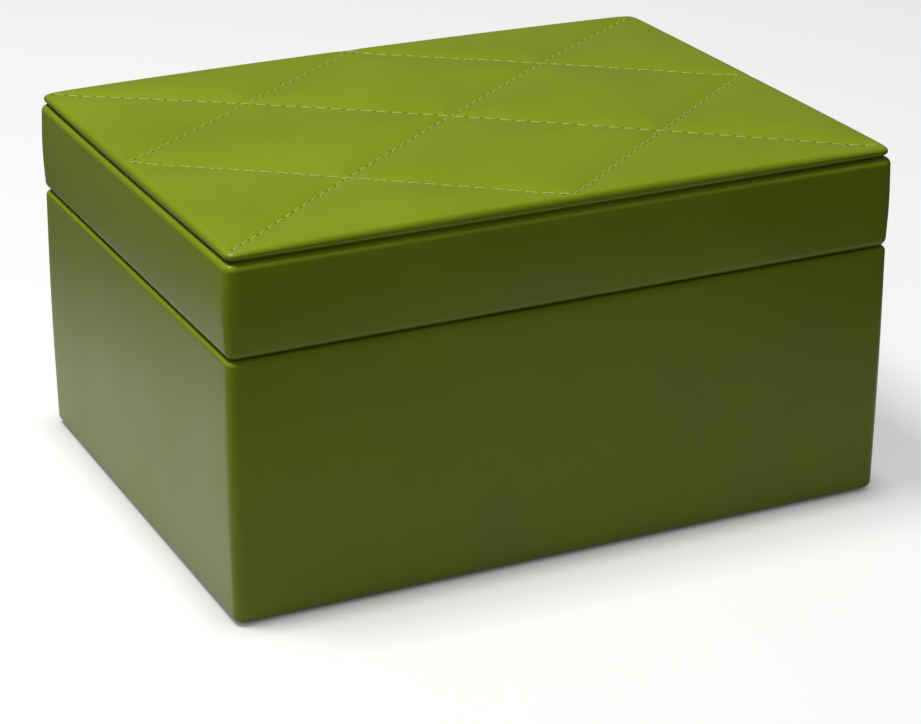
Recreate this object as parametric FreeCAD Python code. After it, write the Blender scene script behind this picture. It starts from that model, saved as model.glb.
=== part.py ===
"""Hinged presentation box: leatherette over boards, a quilted lid panel, a velvet lining and two butt hinges.

Millimetres. +Z is up, the front faces -Y, and the origin is the middle of the underside.
"""
import FreeCAD
import Part
import math
import os

# Plan and heights
BOX_LENGTH = 205.0  # along X
BOX_DEPTH = 155.0  # along Y
BASE_HEIGHT = 77.7  # table to the top of the base rim
RIM_GAP = 0.3  # between the closed rims
LID_HEIGHT = 26.8  # lid rim to the flat top under the quilted panel
QUILT_HEIGHT = 5.2  # quilted panel at its crown

# Sheet and board thicknesses
LEATHERETTE = 0.8
FELT = 0.8
WALL_BOARD = 7.0
FLOOR_BOARD = 5.0
TOP_BOARD = 5.0
QUILT_BOARD = 1.6
LINING = 2.0  # velvet-covered card on the inner walls
FLOOR_PAD = 4.0
LID_PAD = 4.0

# Outer edges
RIM_RADIUS = 2.5
FOOT_RADIUS = 2.0
LID_TOP_RADIUS = 2.0
CORNER_EASE = 0.5  # how much rounder the upright corners are than the roundest edge

# Turned edges of the sheets
TURN_IN = 14.0  # leatherette down the inside of the walls
TURN_UNDER = 15.0  # leatherette under the floor and under the quilted panel
FELT_INSET = 5.0  # felt edge to the side of the base

# Quilted panel
QUILT_INSET = 1.2  # panel edge to the side of the lid
QUILT_CORNER_EASE = 1.2  # how much rounder the panel's corners are in plan than its rolled edge
QUILT_CROWN = 1.2  # crown above the corners
QUILT_UNDER_ROLL = 0.9
QUILT_SIDE = 0.3  # upright side between the two rolls, at the corners
CHANNEL_DEPTH = 0.8  # of the sewn channels
CHANNEL_WIDTH = 8.0
SEAM_INSET = 3.0  # tips of the sewn rhombus to the panel edge

# Lining
LINING_DROP = 3.0  # lining edge to the rim
LINING_FLAT = 0.2  # left between the rolled edges of a lining card
PAD_CLEARANCE = 0.3
PAD_CROWN = 0.8
PAD_ROLL = 1.8
PAD_CORNER_EASE = 0.4  # how much rounder the pads' corners are in plan than their rolled edge

# Hinges
LID_OPENING = 95.0  # degrees, where the rounded back rims stop the lid
HINGE_LENGTH = 26.0
HINGE_END = 34.5  # outer end of a hinge to the side of the box
HINGE_LEAF = 0.8
LEAF_MARGIN = 0.6  # leaf edge to the inner edge of the rim
LID_KNUCKLE = 10.0
KNUCKLE_RADIUS = 1.25
KNUCKLE_GAP = 0.25  # between knuckles, end to end
KNUCKLE_CLEARANCE = 0.2  # round a knuckle
POCKET_CLEARANCE = 0.15  # round a leaf
PIN_RADIUS = 0.6
PIN_CLEARANCE = 0.05  # in the lid's knuckle
PIN_SEAT = 0.01  # in the base's knuckles

# Hinge screws
SCREW_SPACING = 16.0
SCREW_LENGTH = 7.0
SCREW_POINT = 1.6
SCREW_RADIUS = 0.9
SCREW_TIP_RADIUS = 0.2
SCREW_HEAD_RADIUS = 1.6
SCREW_HEAD_DEPTH = 0.65
SCREW_CLEARANCE = 0.05
SLOT_LENGTH = 2.1
SLOT_WIDTH = 0.5
SLOT_DEPTH = 0.35

# Values worked out from the sizes above
HALF_X = BOX_LENGTH / 2
HALF_Y = BOX_DEPTH / 2
CORNER = max(RIM_RADIUS, FOOT_RADIUS, LID_TOP_RADIUS) + CORNER_EASE
LID_RIM = BASE_HEIGHT + RIM_GAP
LID_TOP = LID_RIM + LID_HEIGHT
WALL_IN = LEATHERETTE + WALL_BOARD  # side of the box to the inner face of a wall board
TURN_FACE = WALL_IN + LEATHERETTE  # to the inner face of the turned-in leatherette
LINING_FACE = TURN_FACE + LINING  # to the inner face of the lining
PIN_INSET = RIM_RADIUS - (RIM_RADIUS + RIM_GAP / 2) * math.tan(math.radians(LID_OPENING / 4))
PIN_Y = HALF_Y - PIN_INSET
PIN_Z = BASE_HEIGHT + RIM_GAP / 2
HINGE_X = HALF_X - HINGE_END - HINGE_LENGTH / 2
LEAF_FRONT = HALF_Y - TURN_FACE + LEAF_MARGIN
SCREW_Y = (PIN_Y - KNUCKLE_RADIUS + LEAF_FRONT) / 2
BASE_KNUCKLE = (HINGE_LENGTH - LID_KNUCKLE) / 2 - KNUCKLE_GAP
QUILT_X = HALF_X - QUILT_INSET
QUILT_Y = HALF_Y - QUILT_INSET
QUILT_TOP = LID_TOP + QUILT_HEIGHT
QUILT_ROLL = QUILT_HEIGHT - QUILT_CROWN - QUILT_UNDER_ROLL - QUILT_SIDE

X_AXIS = FreeCAD.Vector(1, 0, 0)
TINY = 1e-4
REACH = 2.0  # how far a cutting tool runs past what it cuts


class Case:
    """One wrapped tray, by the levels of its rim and of its closed end."""

    def __init__(self, rim, end, end_radius, end_board):
        self.rim = rim
        self.end = end
        self.end_radius = end_radius
        self.end_board = end_board
        self.inward = math.copysign(1, end - rim)  # from the rim towards the closed end

    def from_rim(self, distance):
        """The level at a distance inside the rim."""
        return self.rim + self.inward * distance

    def from_end(self, distance):
        """The level at a distance inside the closed end."""
        return self.end - self.inward * distance


BASE = Case(BASE_HEIGHT, FELT, FOOT_RADIUS, FLOOR_BOARD)
LID = Case(LID_RIM, LID_TOP, LID_TOP_RADIUS, TOP_BOARD)
FLOOR_LEVEL = BASE.from_end(LEATHERETTE + FLOOR_BOARD)
CEILING_LEVEL = LID.from_end(LEATHERETTE + TOP_BOARD)


def box(x_one, x_two, y_one, y_two, z_one, z_two):
    """A box between two opposite corners, given in any order."""
    low = FreeCAD.Vector(min(x_one, x_two), min(y_one, y_two), min(z_one, z_two))
    return Part.makeBox(abs(x_two - x_one), abs(y_two - y_one), abs(z_two - z_one), low)


def block(inset, z_one, z_two):
    """A box centred in plan, inset from the sides of the presentation box."""
    half_x = HALF_X - inset
    half_y = HALF_Y - inset
    return box(-half_x, half_x, -half_y, half_y, z_one, z_two)


def with_round_corners(solid, radius):
    """The solid with its upright edges rounded."""
    uprights = [e for e in solid.Edges if e.BoundBox.XLength < TINY and e.BoundBox.YLength < TINY]
    return solid.makeFillet(radius, uprights)


def with_round_loop(solid, level, radius):
    """The solid with the edges that lie at one level rounded."""
    loop = [e for e in solid.Edges if abs(e.BoundBox.ZMin - level) + abs(e.BoundBox.ZMax - level) < TINY]
    return solid.makeFillet(radius, loop)


def case_block(case, skin):
    """The outside of a case, drawn in by a skin thickness on every side."""
    rim = case.from_rim(skin)
    end = case.from_end(skin)
    solid = with_round_corners(block(skin, rim, end), CORNER - skin)
    solid = with_round_loop(solid, rim, RIM_RADIUS - skin)
    return with_round_loop(solid, end, case.end_radius - skin)


def wall_ring(case):
    """The four walls of a case together, before they are parted into boards."""
    return case_block(case, LEATHERETTE).cut(block(WALL_IN, case.rim, case.end))


def wall_boards(case):
    """The four boards: the front and back run full length, and the sides stand between them."""
    ring = wall_ring(case)
    inner_x = HALF_X - WALL_IN
    inner_y = HALF_Y - WALL_IN
    return {
        "front": ring.common(box(-HALF_X, HALF_X, -HALF_Y, -inner_y, case.rim, case.end)),
        "back": ring.common(box(-HALF_X, HALF_X, inner_y, HALF_Y, case.rim, case.end)),
        "left": ring.common(box(-HALF_X, -inner_x, -inner_y, inner_y, case.rim, case.end)),
        "right": ring.common(box(inner_x, HALF_X, -inner_y, inner_y, case.rim, case.end)),
    }


def end_board(case):
    """The floor of the base or the top of the lid, let in between the walls."""
    return block(WALL_IN, case.from_end(LEATHERETTE), case.from_end(LEATHERETTE + case.end_board))


def leatherette(case):
    """The wrap: over the walls, over the rim and down the inside as far as it is turned in."""
    hollow = block(WALL_IN, case.from_rim(TURN_IN), case.from_end(LEATHERETTE))
    mouth = block(TURN_FACE, case.from_rim(-REACH), case.from_rim(TURN_IN))
    return case_block(case, 0).cut([wall_ring(case), hollow, mouth])


def base_leatherette():
    """The base's wrap, with a window under the floor inside the turned-under edge."""
    window = block(TURN_UNDER, BASE.from_end(-REACH), BASE.from_end(LEATHERETTE))
    return leatherette(BASE).cut(window)


def felt_sheet():
    """The felt under the base, pressed up into the window of the turned-under leatherette."""
    sheet = block(FELT_INSET, 0, FELT)
    return sheet.fuse(block(TURN_UNDER, FELT, BASE.from_end(LEATHERETTE))).removeSplitter()


def lining_panel(x_one, x_two, y_one, y_two, case, foot):
    """A velvet-covered card from the closed end to near the rim, with its free edge rolled."""
    edge = case.from_rim(LINING_DROP)
    card = box(x_one, x_two, y_one, y_two, foot, edge)
    return with_round_loop(card, edge, (LINING - LINING_FLAT) / 2)


def lining_panels(case, foot):
    """The four lining cards of a case: the front and back run full length."""
    outer_x = HALF_X - TURN_FACE
    outer_y = HALF_Y - TURN_FACE
    inner_x = HALF_X - LINING_FACE
    inner_y = HALF_Y - LINING_FACE
    return {
        "front": lining_panel(-outer_x, outer_x, -outer_y, -inner_y, case, foot),
        "back": lining_panel(-outer_x, outer_x, inner_y, outer_y, case, foot),
        "left": lining_panel(-outer_x, -inner_x, -inner_y, inner_y, case, foot),
        "right": lining_panel(inner_x, outer_x, -inner_y, inner_y, case, foot),
    }


def crowned_plate(half_x, half_y, foot, top, ball, corner, roll):
    """A plate with round upright corners, a top crowned to a ball's radius and a rolled top edge."""
    tall = box(-half_x, half_x, -half_y, half_y, foot, top + REACH)
    plate = with_round_corners(tall, corner)
    span = half_x + REACH
    sag = ball - math.sqrt(ball**2 - span**2)
    left = FreeCAD.Vector(-span, 0, top - sag)
    right = FreeCAD.Vector(span, 0, top - sag)
    low_left = FreeCAD.Vector(-span, 0, foot - REACH)
    low_right = FreeCAD.Vector(span, 0, foot - REACH)
    arc = Part.Arc(left, FreeCAD.Vector(0, 0, top), right).toShape()
    sides = Part.makePolygon([right, low_right, low_left, left]).Edges
    section = Part.Face(Part.Wire([arc] + sides))
    swing = math.degrees(math.asin((half_y + REACH) / ball))
    centre = FreeCAD.Vector(0, 0, top - ball)
    section.rotate(centre, X_AXIS, -swing)
    crowned = plate.common(section.revolve(centre, X_AXIS, 2 * swing))
    edges = [e for e in crowned.Edges if e.BoundBox.ZMin > foot + TINY]
    return crowned.makeFillet(roll, edges)


def crown_ball(half_x, half_y, crown):
    """The ball radius whose crown stands this far above the corners."""
    return (half_x**2 + half_y**2 + crown**2) / (2 * crown)


def lining_pad(thickness):
    """A velvet-covered pad that lies between the lining cards, made with its foot at zero."""
    half_x = HALF_X - LINING_FACE - PAD_CLEARANCE
    half_y = HALF_Y - LINING_FACE - PAD_CLEARANCE
    ball = crown_ball(half_x, half_y, PAD_CROWN)
    return crowned_plate(half_x, half_y, 0, thickness, ball, PAD_ROLL + PAD_CORNER_EASE, PAD_ROLL)


def floor_pad():
    """The padded floor of the base."""
    pad = lining_pad(FLOOR_PAD)
    pad.translate(FreeCAD.Vector(0, 0, FLOOR_LEVEL))
    return pad


def lid_pad():
    """The padded panel inside the lid, crown down."""
    pad = lining_pad(LID_PAD)
    pad.rotate(FreeCAD.Vector(0, 0, 0), X_AXIS, 180)
    pad.translate(FreeCAD.Vector(0, 0, CEILING_LEVEL))
    return pad


def seam_lines():
    """End points of the six sewn lines: the two diagonals and the four sides of the rhombus."""
    tip_x = QUILT_X - SEAM_INSET
    tip_y = QUILT_Y - SEAM_INSET
    tips = [(tip_x, 0), (0, tip_y), (-tip_x, 0), (0, -tip_y)]
    rhombus = [(tips[i], tips[(i + 1) % 4]) for i in range(4)]
    diagonals = [((-tip_x, -tip_y), (tip_x, tip_y)), ((-tip_x, tip_y), (tip_x, -tip_y))]
    return rhombus + diagonals


def channel(start, end, ball, top):
    """A bar of V section, bent to the crown of a ball, that presses one sewn channel."""
    begin = FreeCAD.Vector(start[0], start[1], 0)
    along = (FreeCAD.Vector(end[0], end[1], 0) - begin).normalize()
    across = FreeCAD.Vector(-along.y, along.x, 0)
    offset = begin.dot(across)
    bend = math.sqrt(ball**2 - offset**2)
    middle = across * offset + FreeCAD.Vector(0, 0, top - ball)
    half_width = CHANNEL_WIDTH / 2 * (CHANNEL_DEPTH + REACH) / CHANNEL_DEPTH
    lip = middle + FreeCAD.Vector(0, 0, bend + REACH)
    apex = middle + FreeCAD.Vector(0, 0, bend - CHANNEL_DEPTH)
    corners = [apex, lip + across * half_width, lip - across * half_width, apex]
    section = Part.Face(Part.makePolygon(corners))
    first = math.degrees(math.asin(begin.dot(along) / bend))
    last = math.degrees(math.asin((end[0] * along.x + end[1] * along.y) / bend))
    section.rotate(middle, across, first)
    return section.revolve(middle, across, last - first)


def quilt_body(skin):
    """The quilted panel, drawn in by a skin thickness: crowned, rolled at the edges and channelled."""
    foot = LID_TOP + skin
    top = QUILT_TOP - skin
    ball = crown_ball(QUILT_X, QUILT_Y, QUILT_CROWN) - skin
    roll = QUILT_ROLL - skin
    plate = crowned_plate(QUILT_X - skin, QUILT_Y - skin, foot, top, ball, roll + QUILT_CORNER_EASE, roll)
    if QUILT_UNDER_ROLL > skin:
        plate = with_round_loop(plate, foot, QUILT_UNDER_ROLL - skin)
    return plate.cut([channel(start, end, ball, top) for start, end in seam_lines()])


def quilt_panel():
    """The panel's cover, foam and board: the cover is turned under the board's edge."""
    filling = quilt_body(LEATHERETTE)
    board_top = LID_TOP + LEATHERETTE + QUILT_BOARD
    window = block(QUILT_INSET + TURN_UNDER, LID_TOP - REACH, LID_TOP + LEATHERETTE)
    below = block(0, LID_TOP, board_top)
    return {
        "quilt_cover": quilt_body(0).cut([filling, window]),
        "quilt_board": filling.common(below),
        "quilt_foam": filling.cut(below),
    }


def barrel(x_one, x_two, radius):
    """A bar on the hinge axis."""
    return Part.makeCylinder(radius, x_two - x_one, FreeCAD.Vector(x_one, PIN_Y, PIN_Z), X_AXIS)


def base_knuckles(hinge_x, radius, end_gap):
    """The two outer knuckles of a hinge, each lengthened by a gap at its inner end."""
    left = hinge_x - HINGE_LENGTH / 2
    right = hinge_x + HINGE_LENGTH / 2
    run = BASE_KNUCKLE + end_gap
    return [barrel(left, left + run, radius), barrel(right - run, right, radius)]


def lid_knuckle(hinge_x, radius, end_gap):
    """The middle knuckle of a hinge, lengthened by a gap at both ends."""
    run = LID_KNUCKLE / 2 + end_gap
    return [barrel(hinge_x - run, hinge_x + run, radius)]


def screw_places(hinge_x, case):
    """Where the screws of one leaf start, on the leaf's outer face."""
    return [FreeCAD.Vector(hinge_x + side * SCREW_SPACING / 2, SCREW_Y, case.rim) for side in (-1, 1)]


def screw_blank(place, case, grown):
    """A countersunk screw without its slots, grown by a clearance for its hole."""
    into = FreeCAD.Vector(0, 0, case.inward)
    neck = place + into * SCREW_HEAD_DEPTH
    tip = place + into * (SCREW_LENGTH - SCREW_POINT)
    shank_radius = SCREW_RADIUS + grown
    head = Part.makeCone(SCREW_HEAD_RADIUS + grown, shank_radius, SCREW_HEAD_DEPTH, place, into)
    shank = Part.makeCylinder(shank_radius, SCREW_LENGTH - SCREW_POINT - SCREW_HEAD_DEPTH, neck, into)
    point = Part.makeCone(shank_radius, SCREW_TIP_RADIUS + grown, SCREW_POINT + grown, tip, into)
    return head.fuse([shank, point])


def screw(place, case):
    """A countersunk screw with a cross slot."""
    arm = SLOT_LENGTH / 2
    half = SLOT_WIDTH / 2
    floor = case.from_rim(SLOT_DEPTH)
    open_end = case.from_rim(-REACH)
    along = box(place.x - arm, place.x + arm, place.y - half, place.y + half, open_end, floor)
    across = box(place.x - half, place.x + half, place.y - arm, place.y + arm, open_end, floor)
    return screw_blank(place, case, 0).cut([along, across])


def leaf(hinge_x, case, own, others, bore_radius):
    """A hinge leaf: a plate in the rim with its own knuckles, clear of the other leaf's."""
    half = HINGE_LENGTH / 2
    plate = box(hinge_x - half, hinge_x + half, LEAF_FRONT, PIN_Y, case.rim, case.from_rim(HINGE_LEAF))
    bore = barrel(hinge_x - half - REACH, hinge_x + half + REACH, bore_radius)
    holes = [screw_blank(place, case, SCREW_CLEARANCE) for place in screw_places(hinge_x, case)]
    return plate.cut(others).fuse(own).cut([bore] + holes).removeSplitter()


def base_leaf(hinge_x):
    """The leaf on the base rim, with the two outer knuckles."""
    others = lid_knuckle(hinge_x, KNUCKLE_RADIUS + KNUCKLE_CLEARANCE, KNUCKLE_GAP)
    own = base_knuckles(hinge_x, KNUCKLE_RADIUS, 0)
    return leaf(hinge_x, BASE, own, others, PIN_RADIUS + PIN_SEAT)


def lid_leaf(hinge_x):
    """The leaf on the lid rim, with the middle knuckle."""
    others = base_knuckles(hinge_x, KNUCKLE_RADIUS + KNUCKLE_CLEARANCE, KNUCKLE_GAP)
    own = lid_knuckle(hinge_x, KNUCKLE_RADIUS, 0)
    return leaf(hinge_x, LID, own, others, PIN_RADIUS + PIN_CLEARANCE)


def hinge_pockets(case):
    """The cuts in the back rim of a case for both hinges: leaf seats, knuckle grooves and screw holes."""
    cuts = []
    half = HINGE_LENGTH / 2 + POCKET_CLEARANCE
    for hinge_x in (-HINGE_X, HINGE_X):
        seat_levels = (case.from_rim(-REACH), case.from_rim(HINGE_LEAF))
        cuts.append(box(hinge_x - half, hinge_x + half, LEAF_FRONT - POCKET_CLEARANCE, PIN_Y, *seat_levels))
        cuts.append(barrel(hinge_x - half, hinge_x + half, KNUCKLE_RADIUS + KNUCKLE_CLEARANCE))
        cuts += [screw_blank(place, case, SCREW_CLEARANCE) for place in screw_places(hinge_x, case)]
    return cuts


def hinge_screws(case):
    """The screws of both hinges in one case, as separate solids."""
    return [screw(place, case) for hinge_x in (-HINGE_X, HINGE_X) for place in screw_places(hinge_x, case)]


def hinge_pin(hinge_x):
    """The pin, as long as the hinge."""
    return barrel(hinge_x - HINGE_LENGTH / 2, hinge_x + HINGE_LENGTH / 2, PIN_RADIUS)


def all_pieces():
    """Every piece by its node name."""
    pieces = {}
    for case, name, board in ((BASE, "base", "board"), (LID, "lid", "rail")):
        for side, wall in wall_boards(case).items():
            pieces[f"{name}_{side}_{board}"] = wall
        pockets = hinge_pockets(case)
        back = f"{name}_back_{board}"
        pieces[back] = pieces[back].cut(pockets)
        wrap = base_leatherette() if case is BASE else leatherette(case)
        pieces[f"{name}_leatherette"] = wrap.cut(pockets)
        pieces[f"hinge_{name}_screws"] = Part.makeCompound(hinge_screws(case))
    pieces["base_floor_board"] = end_board(BASE)
    pieces["lid_top_board"] = end_board(LID)
    pieces["base_felt_sheet"] = felt_sheet()
    for side, card in lining_panels(BASE, FLOOR_LEVEL).items():
        pieces[f"base_lining_{side}"] = card
    for side, card in lining_panels(LID, CEILING_LEVEL).items():
        pieces[f"lid_lining_{side}"] = card
    pieces["base_floor_pad"] = floor_pad()
    pieces["lid_lining_pad"] = lid_pad()
    pieces.update(quilt_panel())
    for side, hinge_x in (("left", -HINGE_X), ("right", HINGE_X)):
        pieces[f"hinge_{side}_base_leaf"] = base_leaf(hinge_x)
        pieces[f"hinge_{side}_lid_leaf"] = lid_leaf(hinge_x)
        pieces[f"hinge_{side}_pin"] = hinge_pin(hinge_x)
    return pieces


os.makedirs("parts", exist_ok=True)
for node, shape in all_pieces().items():
    shape.exportStep(f"parts/{node}.step")
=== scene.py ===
"""Dresses the CAD frame of a quilted presentation box in leatherette, thread, velvet, felt and brass."""
import math

import bpy
import numpy as np
from mathutils import Matrix, Vector


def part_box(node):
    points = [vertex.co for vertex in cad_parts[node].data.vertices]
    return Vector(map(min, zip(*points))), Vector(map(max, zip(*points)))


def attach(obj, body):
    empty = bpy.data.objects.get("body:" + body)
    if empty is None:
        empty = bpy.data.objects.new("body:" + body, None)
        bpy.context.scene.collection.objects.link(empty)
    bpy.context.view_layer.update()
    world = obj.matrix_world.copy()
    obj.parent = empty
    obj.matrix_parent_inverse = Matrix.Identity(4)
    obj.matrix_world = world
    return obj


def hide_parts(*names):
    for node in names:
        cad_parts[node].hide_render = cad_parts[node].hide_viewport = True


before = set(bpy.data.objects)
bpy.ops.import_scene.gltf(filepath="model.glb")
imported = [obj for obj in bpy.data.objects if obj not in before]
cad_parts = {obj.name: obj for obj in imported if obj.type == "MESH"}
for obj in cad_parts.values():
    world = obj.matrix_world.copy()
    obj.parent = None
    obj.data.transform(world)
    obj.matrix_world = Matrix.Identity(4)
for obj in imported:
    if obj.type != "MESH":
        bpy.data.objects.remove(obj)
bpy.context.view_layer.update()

bl_info = {
    "name": "Presentation Box",
    "version": (1, 0, 0),
    "blender": (4, 5, 0),
    "location": "View3D > Sidebar > Presentation Box",
    "description": "Dresses the CAD frame of a quilted presentation box",
    "category": "Object",
}

MM = 0.001
SIDES = ("front", "back", "left", "right")
HINGES = ("left", "right")
STEP = 2 * MM  # spacing of the mesh along walls, cards, pads and felt
QUARTER = 8  # steps in a quarter turn of the wraps
CREASE = 35  # degrees between two faces from which their edge is sharp
SOFT_CREASE = 60  # the same on padded pieces and felt
STITCH_CELLS = 6  # mesh cells along one stitch of the quilting
SIDE_STITCHES = 27  # stitches along one side of the sewn rhombus
LATTICE = SIDE_STITCHES * STITCH_CELLS // 2  # mesh cells between two neighbouring seams
# How far the sewing strays at the tips and in the middle of the pattern, in millimetres.
STRAY = {
    (-1, 0): (-0.7, 3.4), (1, 0): (-1.5, 1.5), (0, -1): (-0.3, -0.8), (0, 1): (-2.0, 0.8), (0, 0): (-0.6, 1.7)}
AZIMUTH, ELEVATION, ROLL = -25.771, 22.833, 0.141  # degrees by which the camera is turned
FOCAL_LENGTH, PICTURE_WIDTH = 2817.07, 921  # pixels


def linear(code):
    """Turns an sRGB hex colour into linear red, green, blue and a full alpha."""
    parts = np.array([int(code[i:i + 2], 16) for i in (1, 3, 5)]) / 255
    levels = np.where(parts <= 0.04045, parts / 12.92, ((parts + 0.055) / 1.055) ** 2.4)
    return (*levels.tolist(), 1.0)


def length(name, description, millimetres):
    """A size that a user can change."""
    return bpy.props.FloatProperty(
        name=name, description=description, default=millimetres * MM, min=0, precision=5, unit="LENGTH")


def colour(name, description, code):
    """A colour that a user can change."""
    return bpy.props.FloatVectorProperty(
        name=name, description=description, default=linear(code), size=4, min=0, max=1, subtype="COLOR")


class PresentationBoxSizes(bpy.types.PropertyGroup):
    """Sizes of the sheets, seams and pads."""

    sheet: length("Leatherette", "Thickness of the leatherette", 0.8)
    corner: length("Corners", "Radius of the upright corners", 3.0)
    rim_roll: length("Rims", "Radius of the lid's rim, and of the base's rim at the back", 2.5)
    base_roll: length("Base rim", "Radius of the base's rim at the front and at the sides", 1.3)
    end_roll: length("Foot and top", "Radius of the edges at the foot and at the lid's top", 2.0)
    turn_face: length("Rim width", "Outside of the box to the inner face of the turned-in leatherette", 8.6)
    turn_in: length("Turn-in", "Leatherette turned down the inside of the walls", 14.0)
    turn_under: length("Turn-under", "Leatherette turned under the floor", 15.0)
    inner_roll: length("Inner edge", "Radius of the inner edge of the rims", 1.0)
    mitre: length("Mitre", "Depth of the folds where the turned edges meet", 0.25)
    lap: length("Lap", "Step of the lapped seam at the back", 0.25)
    lap_run: length("Lap run", "Length over which the lapped seam fades", 14.0)
    wave: length("Waviness", "Unevenness of the glued walls", 0.05)
    base_belly: length("Base belly", "How far the base's walls round out between their edges", 0.3)
    lid_belly: length("Lid belly", "How far the lid's walls round out between their edges", 0.3)
    seam_inset: length("Seam tips", "Tips of the sewn rhombus to the panel edge", 2.6)
    seam_depth: length("Seam depth", "How far the quilting pulls the cover down", 0.8)
    puff: length("Puff", "How far the cover swells between the seams", 0.6)
    quilt_crown: length("Crown", "Middle of the quilted panel above its corners", 1.0)
    quilt_droop: length("Corner droop", "Extra fall of the quilted panel at its corners", 0.2)
    quilt_corner: length("Panel corners", "Radius of the quilted panel's corners in plan", 2.6)
    quilt_spread: length("Panel spread", "How far the filling presses the panel's edge out", 0.4)
    quilt_bow: length("Panel bow", "How much further it presses the middles of the sides out", 0.3)
    quilt_roll: length("Panel roll", "Width of the quilted panel's rolled edge", 2.3)
    quilt_under: length("Panel under-roll", "Radius of the quilted panel's lower edge", 1.8)
    quilt_lift: length("Panel lift", "Gap under the quilted panel's edge", 0.6)
    quilt_side: length("Panel side", "Upright side of the quilted panel", 0.2)
    thread: length("Thread", "Width of the quilting thread", 0.48)
    stitch_gap: length("Stitch gap", "Gap between two stitches", 0.7)
    needle_hole: length("Needle holes", "Depth of the dimples at the needle holes", 0.45)
    card_roll: length("Lining edges", "Radius of the lining cards' edges", 0.9)
    pad_roll: length("Pad edges", "Radius of the velvet pads' edges", 1.8)
    pad_crown: length("Pad crown", "Middle of the velvet pads above their corners", 0.8)
    felt: length("Felt", "Thickness of the felt", 0.8)
    felt_dip: length("Felt dip", "How far the felt is drawn up inside the turned-under edge", 0.35)
    hinge_seat: length("Hinge seat", "Depth of the seats let into the rims", 0.8)
    hinge_gap: length("Hinge clearance", "Room round a hinge leaf in its seat", 0.15)
    knuckle_gap: length("Knuckle clearance", "Room round the hinge knuckles", 0.2)


class PresentationBoxColours(bpy.types.PropertyGroup):
    """Colours of the materials."""

    leatherette: colour("Leatherette", "Olive green of the leatherette", "#869816")
    thread: colour("Thread", "Yellow green of the quilting thread", "#B3C256")
    velvet: colour("Velvet", "Beige of the velvet", "#CDBB97")
    felt: colour("Felt", "Black of the felt", "#1E1D1C")
    brass: colour("Brass", "Yellow of the brass", "#E6C473")
    fibreboard: colour("Fibreboard", "Brown of the fibreboard", "#A8825A")
    card: colour("Card", "Grey of the backing card", "#8D8A84")
    floor: colour("Floor", "White of the studio floor", "#FBFBFA")


# Meshes


def quads(number):
    """Four-cornered faces between neighbouring entries of one or more 2-D arrays of vertex numbers."""
    corners = [number[..., :-1, :-1], number[..., :-1, 1:], number[..., 1:, 1:], number[..., 1:, :-1]]
    return np.stack(corners, -1).reshape(-1, 4)


def wrapped(number, axis):
    """An array of vertex numbers with its first entries along an axis repeated at the end, to close a loop."""
    return np.concatenate([number, np.take(number, [0], axis)], axis)


def volume(points, faces):
    """Volume inside a closed surface: signed tetrahedra from the origin to each face's fan of triangles."""
    total = 0.0
    for face in faces:
        first = points[face[:, 0]][:, None]
        second = points[face[:, 1:-1]]
        third = points[face[:, 2:]]
        total += np.sum(first * np.cross(second, third)) / 6
    return total


def make_mesh(name, points, faces):
    """A smooth mesh from an array of points and a list of face arrays, with its faces looking outwards."""
    points = np.ascontiguousarray(points, float)
    if volume(points, faces) < 0:
        faces = [face[:, ::-1] for face in faces]
    corners = np.concatenate([np.ravel(face) for face in faces])
    counts = np.concatenate([np.full(len(face), face.shape[1]) for face in faces])
    mesh = bpy.data.meshes.new(name)
    mesh.vertices.add(len(points))
    mesh.loops.add(len(corners))
    mesh.polygons.add(len(counts))
    mesh.vertices.foreach_set("co", points.ravel())
    mesh.polygons.foreach_set("loop_start", np.cumsum(counts) - counts)
    mesh.polygons.foreach_set("vertices", corners)
    mesh.polygons.foreach_set("use_smooth", np.ones(len(counts), bool))
    mesh.update(calc_edges=True)
    if mesh.validate():
        raise RuntimeError(f"{name} has faces that don't hold together")
    return mesh


def make_piece(name, points, faces, material, body, replaced=(), crease=CREASE):
    """An object from whole arrays, dressed, riding on a body and standing for CAD nodes."""
    mesh = make_mesh(name, points, faces)
    mesh.set_sharp_from_angle(angle=math.radians(crease))
    mesh.materials.append(material)
    piece = bpy.data.objects.new(name, mesh)
    bpy.context.scene.collection.objects.link(piece)
    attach(piece, body)
    if replaced:
        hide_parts(*replaced)
    return piece


def set_attribute(piece, name, values):
    """One number for each vertex, which a material can read."""
    layer = piece.data.attributes.new(name, "FLOAT", "POINT")
    layer.data.foreach_set("value", np.ascontiguousarray(values, np.float32))


# Shapes


def stations(half, corner):
    """Stations round a rectangle with round corners, anticlockwise from the left end of the front.

    Each has an anchor on the rectangle through the corner centres and an outward direction:
    along a side the anchor moves, and in a corner the direction turns.
    """
    span = half - corner
    along_x, along_y = (np.linspace(-end, end, 2 * round(end / STEP) + 1) for end in span)
    across_x = np.full_like(along_x, span[1])
    across_y = np.full_like(along_y, span[0])
    sides = [(along_x, -across_x), (across_y, along_y), (-along_x, across_x), (-across_y, -along_y)]
    turn = np.linspace(0, np.pi / 2, QUARTER + 1)[1:-1]
    anchors = []
    angles = []
    for place, side in enumerate(np.stack(pair, 1) for pair in sides):
        start = (place - 1) * np.pi / 2
        anchors += [side, np.repeat(side[-1:], len(turn), 0)]
        angles += [np.full(len(side), start), start + turn]
    angle = np.concatenate(angles)
    return np.concatenate(anchors), np.stack([np.cos(angle), np.sin(angle)], 1)


def rings(anchors, directions, half, corner, inset, radius):
    """Nested rings, one row for each inset: anchors, drawn in near the corners, plus the radius outwards."""
    reach = half - corner
    hold = 0.8 * reach  # up to here an anchor keeps its place along its side
    centre = half - (inset + radius)[..., None]
    size = np.abs(anchors)
    beyond = np.clip(size - hold, 0, None) / (reach - hold)
    drawn = np.minimum(size, hold) + beyond * (centre - hold)
    return np.sign(anchors) * drawn + radius[..., None] * directions


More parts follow.
